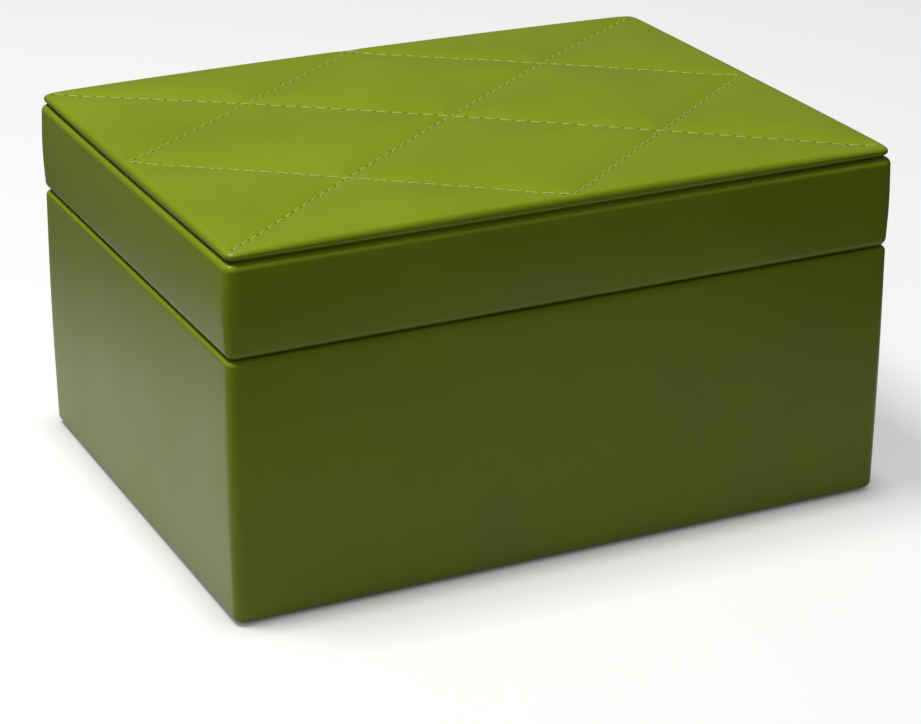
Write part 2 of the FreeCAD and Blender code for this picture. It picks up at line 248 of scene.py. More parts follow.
def wrap_section(sizes, rim_roll, depth, end_reach, skin):
    """Section of a wrap as inset from the side and depth below the rim, a skin inside its outer face.

    Up the turned-in edge, round the rim's inner edge, over the rim, round its roll, along the wall,
    round the end's roll and in under the end: straight runs joined by quarter circles.
    """
    inner = sizes.inner_roll - skin
    roll = rim_roll - skin
    end_roll = sizes.end_roll - skin
    face = sizes.turn_face - skin
    turn = np.linspace(0, np.pi / 2, QUARTER + 1)
    on_turn, on_rim, on_wall, on_end = 4, 6, 30, 6  # points on the straight runs
    pieces = [
        (np.full(on_turn, face), np.linspace(sizes.turn_in, sizes.inner_roll, on_turn + 1)[:-1]),
        (face - inner + inner * np.cos(turn), sizes.inner_roll - inner * np.sin(turn)),
        (np.linspace(sizes.turn_face - sizes.inner_roll, rim_roll, on_rim + 2)[1:-1], np.full(on_rim, skin)),
        (rim_roll - roll * np.sin(turn), rim_roll - roll * np.cos(turn)),
        (np.full(on_wall, skin), np.linspace(rim_roll, depth - sizes.end_roll, on_wall + 2)[1:-1]),
        (sizes.end_roll - end_roll * np.cos(turn), depth - sizes.end_roll + end_roll * np.sin(turn)),
        (np.linspace(sizes.end_roll, end_reach, on_end + 1)[1:], np.full(on_end, depth - skin)),
    ]
    return np.array([np.concatenate(places) for places in zip(*pieces)])


def wrap_shape(sizes, front_roll, belly, half, rim, end, end_reach):
    """The wrap of a case: its section, outer face and inner face, carried round a rectangle with round corners.

    The rim's roll grows round the back corners, so that the hinged back can turn. The outer face rounds out as
    half a sine wave up the walls and waves a little along them, sinks into a mitre at each corner of the turned
    edges, and rises evenly to the step of a lapped seam in the middle of the back, which fades out at the rim.
    """
    inner_corner = 0.8 * MM  # least radius of a corner in plan
    depth = abs(end - rim)
    inward = math.copysign(1, end - rim)
    anchors, directions = stations(half, sizes.corner)
    at_back = np.clip(directions[:, 1], 0, 1)
    faces_of = []
    for skin in (sizes.sheet, 0):
        front = wrap_section(sizes, front_roll, depth, end_reach, skin)[..., None]
        back = wrap_section(sizes, sizes.rim_roll, depth, end_reach, skin)[..., None]
        inset, below = front + (back - front) * at_back
        radius = np.maximum(sizes.corner - inset, inner_corner)
        plan = rings(anchors, directions, half, sizes.corner, inset, radius)
        faces_of.append(np.concatenate([plan, (rim + inward * below)[..., None]], -1))
    inner, outer = faces_of
    girth = outer[40, :, :2]  # a ring on the wall
    place = np.cumsum(np.linalg.norm(girth - np.roll(girth, 1, 0), axis=1))
    turn = 2 * np.pi * place / place[-1]
    down = np.clip((below - sizes.rim_roll) / (depth - 2 * sizes.rim_roll), 0, 1)
    wall = np.where(inset < MM, np.sin(np.pi * down), 0)
    # 9 waves round the box, and 14 weaker ones that lean with the depth.
    uneven = np.sin(9 * turn + 1.3) + 0.7 * np.sin(14 * turn + 4 * below / depth)
    swell = wall * (belly + sizes.wave * uneven)
    from_lap = anchors[:, 0] / sizes.lap_run
    lapped = (anchors[:, 1] > 0) & (directions[:, 1] > 0.999) & (from_lap >= 0) & (from_lap < 1)
    below_rim = np.clip((below - sizes.rim_roll) / sizes.rim_roll, 0, 1)
    swell += sizes.lap * np.where(lapped, 1 - from_lap, 0) * np.where(inset < sizes.end_roll, below_rim, 0)
    outer[..., :2] += swell[..., None] * directions
    mitred = np.isclose(np.abs(directions[:, 0]), np.abs(directions[:, 1]))
    folded = np.clip((inset - sizes.rim_roll) / MM, 0, 1)
    towards = np.where(below < depth / 2, inward, -inward)
    outer[..., 2] += sizes.mitre * folded * towards * mitred
    return np.concatenate([outer, inner[::-1]])


def cut_hinge_seats(piece, sizes, inward):
    """Cuts the seats of both hinges out of the back rim: a block for the leaf and a bar for the knuckles."""
    rim_gap = 0.15 * MM  # from the pin's level to each rim
    clear = 2 * MM  # how far a block stands out of the rim
    sides = 24  # of a bar
    for side in HINGES:
        low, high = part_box(f"hinge_{side}_{'base' if inward < 0 else 'lid'}_leaf")
        pin_low, pin_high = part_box(f"hinge_{side}_pin")
        pin = (pin_low + pin_high) / 2
        rim = pin.z + inward * rim_gap
        ends = np.array([low.x - sizes.hinge_gap, high.x + sizes.hinge_gap])
        front = low.y - sizes.hinge_gap
        block = (
            np.array([front, pin.y, pin.y, front]),
            rim + inward * np.array([sizes.hinge_seat, sizes.hinge_seat, -clear, -clear]))
        turn = 2 * np.pi * np.arange(sides) / sides
        reach = high.y - pin.y + sizes.knuckle_gap
        bar = pin.y + reach * np.cos(turn), pin.z + reach * np.sin(turn)
        for section_y, section_z in (block, bar):
            count = len(section_y)
            points = np.stack([np.repeat(ends, count), np.tile(section_y, 2), np.tile(section_z, 2)], 1)
            number = wrapped(np.arange(2 * count).reshape(2, count), 1)
            caps = np.stack([number[0, -2::-1], number[1, :-1]])
            cutter = bpy.data.objects.new("seat", make_mesh("seat", points, [quads(number), caps]))
            bpy.context.scene.collection.objects.link(cutter)
            cut = piece.modifiers.new("seat", "BOOLEAN")
            cut.operation = "DIFFERENCE"
            cut.solver = "EXACT"
            cut.object = cutter
            mesh = bpy.data.meshes.new_from_object(piece.evaluated_get(bpy.context.evaluated_depsgraph_get()))
            piece.modifiers.clear()
            mesh.name = piece.data.name
            piece.data = mesh
            bpy.data.objects.remove(cutter)


def edge_distance(points, half, corner):
    """How far points lie inside a rectangle with round corners."""
    past = np.abs(points) - (half - corner)
    outside = np.linalg.norm(np.clip(past, 0, None), axis=-1)
    return corner - outside - np.minimum(past.max(-1), 0)


def outline_of(loop, half, corner):
    """Anchors and directions on a round-cornered outline for a loop of points on a rectangle inside it.

    Each point keeps its place along its side, and those near a rectangle corner spread over the outline's arc.
    """
    reach = np.abs(loop).max(0)
    on_x_side = np.isclose(np.abs(loop[:, 0]), reach[0])
    along = np.where(on_x_side, loop[:, 1], loop[:, 0])
    limit = np.where(on_x_side, reach[1], reach[0])
    straight = np.where(on_x_side, half[1] - corner, half[0] - corner)
    hold = limit - 8 * MM  # up to here a point keeps its place along its side
    total = straight + corner * np.pi / 4
    size = np.abs(along)
    run = np.where(size < hold, size, hold + (size - hold) * (total - hold) / (limit - hold))
    bend = np.clip(run - straight, 0, None) / corner
    held = np.sign(along) * np.minimum(run, straight)
    slide = np.sign(along) * np.sin(bend)
    side = np.where(on_x_side, np.sign(loop[:, 0]), np.sign(loop[:, 1]))
    across = side * (np.where(on_x_side, half[0], half[1]) - corner)
    pairs = np.stack([[across, held], [side * np.cos(bend), slide]]).swapaxes(1, 2)
    return np.where(on_x_side[:, None], pairs, pairs[..., ::-1])


def band(loop, half, corner, distances):
    """Rings from a rectangle's loop out to a round-cornered outline, one for each distance inside the outline.

    A ring is the outline moved inwards, and the difference from the loop fades out towards the outline.
    """
    anchors, directions = outline_of(loop, half, corner)
    start = edge_distance(loop, half, corner)
    shift = loop - (anchors + (corner - start)[:, None] * directions)
    fade = np.clip(distances[:, None] / start, 0, 1)[..., None] ** 1.5
    return anchors + (corner - distances)[:, None, None] * directions + fade * shift


def cushion(top, faces, loop, height, half, corner, roll, side, under, lift=0):
    """A padded form from a grid on its top and its outer loop: rolled edge, side, rolled lower edge and foot.

    The edge is a quarter ellipse from the top's own height down to the upright side, and the lower edge is a
    quarter ellipse down to the lift, where the flat foot stands back a little. The foot lies at zero.
    Returns the points and the faces.
    """
    edge_steps, low_steps = 14, 6
    setback = 0.9 * corner  # of the foot from the outline
    start = edge_distance(top[loop, :2], half, corner).min()
    first = np.arcsin(max(1 - start / roll, 0))
    turn = np.linspace(first, np.pi / 2, edge_steps + 1)[1:]
    away = roll * (1 - np.sin(turn))
    plan = band(top[loop, :2], half, corner, away)
    upper = side + under + (height(plan) - side - under) * np.cos(turn)[:, None]
    low_turn = np.linspace(0, np.pi / 2, low_steps + 1)
    foot_rings = [lift, 0] if lift else [0]
    low_away = np.concatenate([under * (1 - np.cos(low_turn)), np.full(len(foot_rings), setback)])
    low_plan = band(top[loop, :2], half, corner, low_away)
    lower = np.concatenate([lift + (under - lift) * (1 - np.sin(low_turn)), foot_rings])
    walls = np.concatenate([
        np.concatenate([plan, upper[..., None]], -1),
        np.concatenate([low_plan, np.broadcast_to(lower[:, None, None], (*low_plan.shape[:2], 1))], -1)])
    number = len(top) + np.arange(walls[..., 0].size).reshape(walls.shape[:2])
    number = wrapped(np.concatenate([loop[None], number]), 1)
    points = np.concatenate([top, walls.reshape(-1, 3)])
    return points, [*faces, quads(number)[:, ::-1], number[-1:, -2::-1]]


def plate(half, margin, height, corner, roll, side, under):
    """A cushion whose top is a grid that ends a margin inside its edge, at the heights of a function."""
    reach = half - margin
    counts = np.maximum(np.round(2 * reach / STEP).astype(int), 2)
    x, y = np.meshgrid(*(np.linspace(-end, end, count + 1) for end, count in zip(reach, counts)))
    number = np.arange(x.size).reshape(x.shape)
    loop = np.concatenate([number[0, :-1], number[:-1, -1], number[-1, :0:-1], number[:0:-1, 0]])
    plan = np.stack([x.ravel(), y.ravel()], 1)
    top = np.column_stack([plan, height(plan)])
    return cushion(top, [quads(number)], loop, height, half, corner, roll, side, under)


class Quilt:
    """The quilted panel's cover as a height over its plan.

    Two families of sewn lines, u = x/a + y/b and v = x/a - y/b at -1, 0 and 1, part it into four diamonds
    and eight half diamonds: the two diagonals and the rhombus through the middles of the sides.
    """

    def __init__(self, sizes):
        low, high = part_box("quilt_cover")
        self.sizes = sizes
        self.foot = low.z
        self.top = high.z - low.z
        self.half = np.array([high.x, high.y]) + sizes.quilt_spread
        self.tips = self.half - sizes.seam_inset
        self.spread = np.linalg.norm(1 / self.tips)
        self.side = np.linalg.norm(self.tips)
        self.swell = None

    def lines(self, points):
        """The two line coordinates of points in plan."""
        scaled = points / self.tips
        return scaled[..., 0] + scaled[..., 1], scaled[..., 0] - scaled[..., 1]

    def from_edge(self, points):
        """How far points in plan lie inside the panel's edge."""
        return edge_distance(points, self.half, self.sizes.quilt_corner)

    def near_seam(self, points):
        """Distance to the nearest sewn line, and the place along it in stitches from its middle."""
        def from_family(across, along):
            """Distance to the nearest line of one family, whose middle line is twice as long as the others."""
            line = np.rint(across)
            past = np.abs(along) - np.where(np.abs(line) < 1, 2, 1)
            beside = np.abs(across - np.clip(line, -1, 1)) / self.spread
            return np.hypot(beside, np.clip(past, 0, None) * self.side / 2)

        u, v = self.lines(points)
        from_u = from_family(u, v)
        from_v = from_family(v, u)
        along = np.where(from_u < from_v, v, u) * SIDE_STITCHES / 2
        return np.minimum(from_u, from_v), along

    def lattice(self, cells):
        """Points on both families of lines, cells to a seam spacing, with an empty place outside the panel."""
        steps = np.arange(-2 * cells, 2 * cells + 1)
        u, v = np.meshgrid(steps, steps, indexing="ij")
        inside = np.abs(u) + np.abs(v) <= 2 * cells
        number = np.where(inside, np.cumsum(inside).reshape(inside.shape) - 1, -1)
        plan = np.stack([(u + v)[inside], (u - v)[inside]], 1) * self.tips / (2 * cells)
        corners = quads(number)
        filled = (corners >= 0).sum(1)
        part = corners[filled == 3]
        run = np.arange(2 * cells)
        loop_u = np.concatenate([run - 2 * cells, run, 2 * cells - run, -run])
        loop_v = np.concatenate([run, 2 * cells - run, -run, run - 2 * cells])
        loop = number[loop_u + 2 * cells, loop_v + 2 * cells]
        return plan, [corners[filled == 4], part[part >= 0].reshape(-1, 3)], loop, inside

    def plain_swell(self, points):
        """Swell between the seams without a simulation: a power of the distance from the nearest seam."""
        reach = 18 * MM  # from a seam to the full swell
        away, _ = self.near_seam(points)
        drawn_down = np.clip(1 - away / reach, 0, 1) ** 2.2
        return self.sizes.puff - (self.sizes.puff + self.sizes.seam_depth) * drawn_down

    def simulate(self, cells=18, frames=24):
        """Lets Blender's Cloth swell a sheet that is sewn down along the seams, and keeps its heights.

        The seams come up to the sheet's edge within a short run, and the swelling is scaled to the puff.
        """
        run = 8 * MM
        on_seam = 0.2 * MM
        plan, faces, loop, inside = self.lattice(cells)
        away, _ = self.near_seam(plan)
        sewn = away < on_seam
        edge = np.zeros(len(plan), bool)
        edge[loop] = True
        fade = np.clip(self.from_edge(plan) / run, 0, 1)
        level = 2 * self.sizes.seam_depth
        height = level - np.where(sewn, self.sizes.seam_depth * fade, 0)
        mesh = make_mesh("swelling", np.column_stack([plan, height]), faces)
        sheet = bpy.data.objects.new("swelling", mesh)
        bpy.context.scene.collection.objects.link(sheet)
        pins = sheet.vertex_groups.new(name="sewn")
        pins.add(np.flatnonzero(sewn | edge).tolist(), 1.0, "REPLACE")
        cloth = sheet.modifiers.new("Cloth", "CLOTH")
        for name, value in (
                ("quality", 8), ("mass", 0.2), ("tension_stiffness", 12), ("compression_stiffness", 12),
                ("shear_stiffness", 6), ("bending_stiffness", 0.3), ("use_pressure", True),
                ("uniform_pressure_force", 3), ("vertex_group_mass", "sewn")):
            setattr(cloth.settings, name, value)
        cloth.settings.effector_weights.gravity = 0
        cloth.collision_settings.use_collision = False
        scene = bpy.context.scene
        for step in range(1, frames + 1):
            scene.frame_set(step)
        swollen = sheet.evaluated_get(bpy.context.evaluated_depsgraph_get()).data
        places = np.empty(len(plan) * 3)
        swollen.vertices.foreach_get("co", places)
        scene.frame_set(1)
        bpy.data.objects.remove(sheet)
        rise = places.reshape(-1, 3)[:, 2] - height
        if not np.isfinite(rise).all() or rise.max() < 1e-6:
            raise RuntimeError("the quilted cover did not swell")
        rise *= (self.sizes.puff + 0.5 * self.sizes.seam_depth) / rise.max()
        table = np.zeros(inside.shape)
        table[inside] = height - level + rise
        self.swell = table

    def swell_at(self, points):
        """Height of the swelling at any points: between four neighbours on the lattice, or by the formula."""
        if self.swell is None:
            return self.plain_swell(points)
        cells = (len(self.swell) - 1) // 4
        u, v = self.lines(points)
        u = np.clip((u + 2) * cells, 0, 4 * cells - 1e-6)
        v = np.clip((v + 2) * cells, 0, 4 * cells - 1e-6)
        left = u.astype(int)
        low = v.astype(int)
        s = u - left
        t = v - low
        near = self.swell[left, low] * (1 - s) + self.swell[left + 1, low] * s
        far = self.swell[left, low + 1] * (1 - s) + self.swell[left + 1, low + 1] * s
        return near * (1 - t) + far * t

    def settled(self, points):
        """Points in plan moved from the drawn pattern to the made one.

        The edge is pressed outwards near the middles of the sides: an eighth power towards the edge and a
        parabola along it. The sewing strays by parabolas through the tips and the middle, up to the edge.
        """
        share = np.clip(np.abs(points) / self.half, 0, 1)
        place = np.clip(points / self.tips, -1, 1)
        fade = np.clip(self.from_edge(points) / self.sizes.seam_inset, 0, 1)[..., None]
        curves = {-1: place * (place - 1) / 2, 0: 1 - place ** 2, 1: place * (place + 1) / 2}
        moved = points + np.sign(points) * self.sizes.quilt_bow * share ** 8 * (1 - share[..., ::-1] ** 2)
        for (column, row), stray in STRAY.items():
            weight = fade * curves[column][..., :1] * curves[row][..., 1:]
            moved = moved + weight * np.array(stray) * MM
        return moved

    def holes(self, points):
        """How much of a needle hole each point holds, from 1 in its middle evenly down to 0 at its radius."""
        radius = 0.7 * MM
        spare = 0.5 * MM  # the last holes lie that near to the seams' tips
        away, along = self.near_seam(points)
        from_hole = np.abs(along - np.rint(along)) * self.side / SIDE_STITCHES
        sewn = self.from_edge(points) > self.sizes.seam_inset - spare
        return np.where(sewn, np.clip(1 - np.hypot(away, from_hole) / radius, 0, 1), 0)

    def open_height(self, points):
        """Height of the cover over its foot, before its edge is rolled: crown, corner droop and swelling."""
        sizes = self.sizes
        fall = np.sum(points ** 2, -1) / np.sum(self.half ** 2)
        droop = np.prod(np.clip(np.abs(points) / self.half, 0, 1) ** 8, -1)
        swell = self.swell_at(points)
        return self.top - sizes.puff - sizes.quilt_crown * fall - sizes.quilt_droop * droop + swell

    def height(self, points):
        """Height of the cover over its foot with the rolled edge, a quarter ellipse across the roll's width."""
        sizes = self.sizes
        side = sizes.quilt_side + sizes.quilt_under
        away = np.clip(self.from_edge(points), 0, sizes.quilt_roll)
        turn = np.arcsin(1 - away / sizes.quilt_roll)
        return side + (self.open_height(points) - side) * np.cos(turn)


# Materials

MOST = {"From Min": 0.3, "From Max": 0.7}  # the range in which most values of a noise lie


def add(tree, kind, inputs=None, **settings):
    """Adds a shader node with its settings. An input is a constant, a socket or a node's first output."""
    node = tree.nodes.new("ShaderNode" + kind)
    for name, value in settings.items():
        setattr(node, name, value)
    for name, value in (inputs or {}).items():
        if isinstance(value, bpy.types.Node):
            value = value.outputs[0]
        if isinstance(value, bpy.types.NodeSocket):
            tree.links.new(value, node.inputs[name])
        else:
            node.inputs[name].default_value = value
    return node


def material_tree(name):
    """A new material of that name and its empty node tree."""
    material = bpy.data.materials.new(name)
    material.use_nodes = True
    material.node_tree.nodes.clear()
    return material, material.node_tree


def finish_surface(material, tint, relief, strength, depth, inputs):
    """Ends a material: a bump of that depth from a relief, and a surface with the tint and its own inputs."""
    tree = material.node_tree
    bump = add(tree, "Bump", {"Strength": strength, "Distance": depth, "Height": relief})
    surface = add(tree, "BsdfPrincipled", {"Base Color": tint, "Normal": bump, **inputs})
    add(tree, "OutputMaterial", {"Surface": surface})
    return material


def leatherette_material(colours):
    """Polyurethane leatherette, calendered smooth."""
    # A closed satin film: soft broad reflections, a faint pressed grain and hardly any change of colour, but
    # for painted shade in the needle holes.
    material, tree = material_tree("Polyurethane leatherette, calendered")
    place = add(tree, "TexCoord").outputs["Object"]
    cloud = add(tree, "TexNoise", {"Vector": place, "Scale": 1 / (35 * MM), "Detail": 3.0, "Roughness": 0.5})
    grain = add(
        tree, "TexVoronoi", {"Vector": place, "Scale": 1 / (0.8 * MM), "Smoothness": 0.6}, feature="SMOOTH_F1")
    value = add(tree, "MapRange", {"Value": cloud, **MOST, "To Min": 0.95, "To Max": 1.05})
    tint = add(tree, "HueSaturation", {"Color": tuple(colours.leatherette), "Value": value})
    # Painted shade: the colour darkens to a dark olive in the needle holes, where their shadow falls.
    hole_shade_mask = add(tree, "Attribute", attribute_name="needle_hole").outputs["Fac"]
    painted_hole_shade = add(tree, "Mix", {0: hole_shade_mask, 6: tint, 7: linear("#232B06")}, data_type="RGBA")
    rough = add(tree, "MapRange", {"Value": cloud, **MOST, "To Min": 0.29, "To Max": 0.37})
    return finish_surface(material, painted_hole_shade.outputs[2], grain, 0.25, 0.03 * MM, {
        "Roughness": rough, "IOR": 1.5, "Specular IOR Level": 0.25})


def thread_material(colours):
    """Polyester sewing thread, two plies twisted together."""
    # Shiny filaments: slanted light and dark stripes along each stitch, with a soft sheen.
    material, tree = material_tree("Polyester thread, twisted")
    along = add(tree, "UVMap", uv_map="thread")
    # The plies repeat every 0.6 mm, coarser than the 0.35 mm of such thread so that they show.
    twist = add(
        tree, "TexWave", {"Vector": along, "Scale": 1.0, "Distortion": 0.4},
        wave_type="BANDS", bands_direction="DIAGONAL").outputs["Fac"]
    shade = add(tree, "MapRange", {"Value": twist, "To Min": 0.72, "To Max": 1.08})
    tint = add(tree, "HueSaturation", {"Color": tuple(colours.thread), "Value": shade})
    return finish_surface(material, tint, twist, 0.5, 0.05 * MM, {
        "Roughness": 0.45, "IOR": 1.55, "Sheen Weight": 0.3, "Sheen Roughness": 0.4})


def velvet_material(colours):
    """Viscose velvet, woven and brushed."""
    # Upright pile: dark face on, pale at a glancing angle, with cloudy patches of painted sheen and shade where
    # the pile leans.
    material, tree = material_tree("Viscose velvet, brushed")
    place = add(tree, "TexCoord").outputs["Object"]
    # Painted sheen and shade: the colour is paler and darker in cloudy patches where the pile leans.
    lean_sheen = add(tree, "TexNoise", {
        "Vector": place, "Scale": 1 / (22 * MM), "Detail": 4.0, "Roughness": 0.55, "Distortion": 0.6})
    pile = add(tree, "TexNoise", {"Vector": place, "Scale": 1 / (0.5 * MM), "Detail": 2.0, "Roughness": 0.6})
    both = add(tree, "Math", {0: lean_sheen, 1: pile}, operation="ADD")
    value = add(tree, "MapRange", {
        "Value": both, "From Min": 0.6, "From Max": 1.4, "To Min": 0.72, "To Max": 1.0})
    tint = add(tree, "HueSaturation", {"Color": tuple(colours.velvet), "Value": value})
    return finish_surface(material, tint, pile, 0.6, 0.25 * MM, {
        "Roughness": 0.95, "IOR": 1.45, "Specular IOR Level": 0.1,
        "Sheen Weight": 0.6, "Sheen Roughness": 0.35, "Sheen Tint": linear("#FFF3DC")})


def felt_material(colours):
    """Wool felt, pressed."""
    # Matted fibres: no shine, a ragged nap and paler stray hairs in every direction.
    material, tree = material_tree("Wool felt, pressed")
    place = add(tree, "TexCoord").outputs["Object"]
    turned = add(tree, "Mapping", {"Vector": place, "Rotation": (0, 0, 0.9), "Scale": (1, 0.2, 1)})
    hairs = add(tree, "TexNoise", {
        "Vector": turned, "Scale": 1 / (0.45 * MM), "Detail": 3.0, "Distortion": 1.2})
    mat = add(tree, "TexNoise", {"Vector": place, "Scale": 1 / (1.2 * MM), "Detail": 5.0, "Roughness": 0.65})
    both = add(tree, "Math", {0: hairs, 1: mat}, operation="MULTIPLY")
    value = add(tree, "MapRange", {
        "Value": both, "From Min": 0.15, "From Max": 0.4, "To Min": 0.6, "To Max": 1.8})
    tint = add(tree, "HueSaturation", {"Color": tuple(colours.felt), "Value": value})
    return finish_surface(material, tint, both, 0.8, 0.3 * MM, {
        "Roughness": 1.0, "Specular IOR Level": 0.1, "Sheen Weight": 0.4, "Sheen Roughness": 0.6})


def brass_material(colours):
    """Brass, rolled and satined."""
    # Yellow metal with a soft broad shine, fine lines along the rolling direction and a little tarnish.
    material, tree = material_tree("Brass, rolled and satined")
    place = add(tree, "TexCoord").outputs["Object"]
    drawn = add(tree, "Mapping", {"Vector": place, "Scale": (0.02, 1, 1)})
    lines = add(tree, "TexNoise", {"Vector": drawn, "Scale": 1 / (0.12 * MM), "Detail": 3.0})
    stain = add(tree, "TexNoise", {"Vector": place, "Scale": 1 / (4 * MM), "Detail": 4.0})
    tone = add(tree, "MapRange", {
        "Value": stain, "From Min": 0.35, "From Max": 0.7, "To Min": 1.0, "To Max": 0.9})
    tint = add(tree, "HueSaturation", {"Color": tuple(colours.brass), "Value": tone})
    rough = add(tree, "MapRange", {"Value": lines, **MOST, "To Min": 0.42, "To Max": 0.52})
    return finish_surface(material, tint, lines, 0.2, 0.01 * MM, {"Metallic": 1.0, "Roughness": rough})


def board_material(name, tone, fleck):
    """Pressed wood fibre or grey card, with flecks of that size."""
    # Matted fibres under a sanded face: flecks of two browns or greys and no shine.
    material, tree = material_tree(name)
    place = add(tree, "TexCoord").outputs["Object"]
    fibres = add(tree, "TexNoise", {"Vector": place, "Scale": 1 / fleck, "Detail": 6.0, "Roughness": 0.7})
    value = add(tree, "MapRange", {"Value": fibres, **MOST, "To Min": 0.8, "To Max": 1.15})
    tint = add(tree, "HueSaturation", {"Color": tuple(tone), "Value": value})
    return finish_surface(material, tint, fibres, 0.3, 0.05 * MM, {
        "Roughness": 0.85, "Specular IOR Level": 0.3})


def shared(maker):
    """The material that a maker function makes, made once and found again by the maker's name."""
    made = [material for material in bpy.data.materials if material.get("maker") == maker.__name__]
    material = made[0] if made else maker(bpy.context.scene.presentation_box_colours)
    material["maker"] = maker.__name__
    return material


def dress_nodes(material, *nodes):
    """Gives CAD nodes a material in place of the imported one."""
    for node in nodes:
        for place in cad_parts[node].material_slots:
            place.material = material


# Operators


class Stage(bpy.types.Operator):
    """Makes the floor, the lamps, the world and the camera."""

    bl_idname = "presentation_box.stage"
    bl_label = "Stage"

    def execute(self, context):
        scene = context.scene
        scene.view_settings.view_transform = "Standard"
        self.make_floor(scene)
        self.make_lamps(scene)
        self.make_world(scene)
        self.make_camera(scene)
        return {"FINISHED"}

    def make_floor(self, scene):
        """A plain floor: white to the eye and through glass, and darker to the light that bounces off it.

        Part of the white is its own glow, which ambient occlusion darkens near the box and in the gap under it,
        a painted contact shadow, and part is lit by the lamps, so that it keeps the box's shadow.
        Reflections see a white patch under the box, turned like the camera, which the camera itself sees as
        plain white
        floor: a painted reflection, and the light bounced off the floor is brighter there too. It fades
        smoothly from 165 to 275 mm to the left and to the right of its middle and towards the camera.
        """
        half = 12  # metres
        drop = 0.02 * MM  # below the box's foot
        x, y = np.meshgrid(np.linspace(-half, half, 9), np.linspace(-half, half, 9))
        points = np.stack([x.ravel(), y.ravel(), np.full(x.size, -drop)], 1)
        mesh = bpy.data.meshes.new("studio_floor")
        mesh.from_pydata(points.tolist(), [], quads(np.arange(x.size).reshape(x.shape)).tolist())
        floor = bpy.data.objects.new("studio_floor", mesh)
        scene.collection.objects.link(floor)
        material, tree = material_tree("Studio paper, matt")
        rays = add(tree, "LightPath").outputs
        place = add(tree, "TexCoord").outputs["Object"]
        sight = add(tree, "Mapping", {"Vector": place, "Rotation": (0, 0, math.radians(-AZIMUTH))})
        axes = add(tree, "SeparateXYZ", {0: sight}).outputs
        middle = add(tree, "Math", {0: axes["X"], 1: 20 * MM}, operation="SUBTRACT")
        beside = add(tree, "Math", {0: middle}, operation="ABSOLUTE")
        ahead = add(tree, "Math", {0: axes["Y"], 1: -1.0}, operation="MULTIPLY")
        away = add(tree, "Math", {0: beside, 1: ahead}, operation="MAXIMUM")
        # Painted reflection: a patch under the box that only reflections and bounced light see, not the camera.
        sheet = add(tree, "MapRange", {
            "Value": away, "From Min": 165 * MM, "From Max": 275 * MM, "To Min": 1.0, "To Max": 0.12},
            interpolation_type="SMOOTHSTEP")
        mirrored = add(tree, "Math", {0: rays["Is Glossy Ray"], 1: sheet}, operation="MULTIPLY")
        eye = add(tree, "Math", {0: rays["Is Camera Ray"], 1: rays["Is Transmission Ray"]}, operation="MAXIMUM")
        seen = add(tree, "Math", {0: eye, 1: mirrored}, operation="MAXIMUM")
        bounced = add(tree, "Mix", {0: sheet, 6: linear("#3A3A38"), 7: linear("#6E6E6C")}, data_type="RGBA")
        tone = add(tree, "Mix", {0: seen, 6: bounced.outputs[2], 7: linear("#BEBEBC")}, data_type="RGBA")
        paper = add(tree, "BsdfDiffuse", {"Color": tone.outputs[2]})
        lift = add(tree, "Math", {0: seen, 1: 0.55}, operation="MULTIPLY")
        white = tuple(scene.presentation_box_colours.floor)
        # Painted contact shadow: ambient occlusion darkens the floor's glow within 10 mm of the box.
        painted_contact_shadow = add(tree, "AmbientOcclusion", {"Color": white, "Distance": 10 * MM}, samples=8)
        glow = add(tree, "Emission", {"Color": painted_contact_shadow, "Strength": lift})
        both = add(tree, "AddShader", {0: paper, 1: glow})
        add(tree, "OutputMaterial", {"Surface": both})
        mesh.materials.append(material)

    def make_lamps(self, scene):
        """A soft lamp above and to the left, and a weak one at the front left."""
        for name, place, target, size, power in (
                ("key_lamp", (-0.4, 0.08, 1.2), (0, 0, 0.1), 0.35, 12.8),
                ("front_lamp", (-0.4, -0.6, 0.42), (0, 0, 0.08), 0.3, 0.6)):
            lamp = bpy.data.lights.new(name, "AREA")
            lamp.shape = "SQUARE"
            lamp.size = size
            lamp.energy = power
            holder = bpy.data.objects.new(name, lamp)
            holder.location = place
            holder.rotation_euler = (Vector(place) - Vector(target)).to_track_quat("Z", "Y").to_euler()
            scene.collection.objects.link(holder)

    def make_world(self, scene):
        """An even dim room."""
        world = bpy.data.worlds.new("studio")
        world.use_nodes = True
        tree = world.node_tree
        tree.nodes.clear()
        room = add(tree, "Background", {"Color": (1, 1, 1, 1), "Strength": 0.11})
        add(tree, "OutputWorld", {"Surface": room})
        scene.world = world

    def make_camera(self, scene):
        """The photograph's viewpoint."""
        lens = bpy.data.cameras.new("camera")
        lens.sensor_width = 36
        lens.lens = lens.sensor_width * FOCAL_LENGTH / PICTURE_WIDTH
        camera = bpy.data.objects.new("camera", lens)
        azimuth, elevation, roll = (math.radians(angle) for angle in (AZIMUTH, ELEVATION, ROLL))
        level = math.cos(elevation)
        back = Vector((math.sin(azimuth) * level, -math.cos(azimuth) * level, math.sin(elevation)))
        right = Vector((math.cos(azimuth), math.sin(azimuth), 0))
        turn = Matrix((right, back.cross(right), back)).transposed()
        camera.rotation_euler = (turn @ Matrix.Rotation(roll, 3, "Z")).to_euler()
        camera.location = (-0.34204, -0.71266, 0.36354)
        scene.collection.objects.link(camera)
        scene.camera = camera


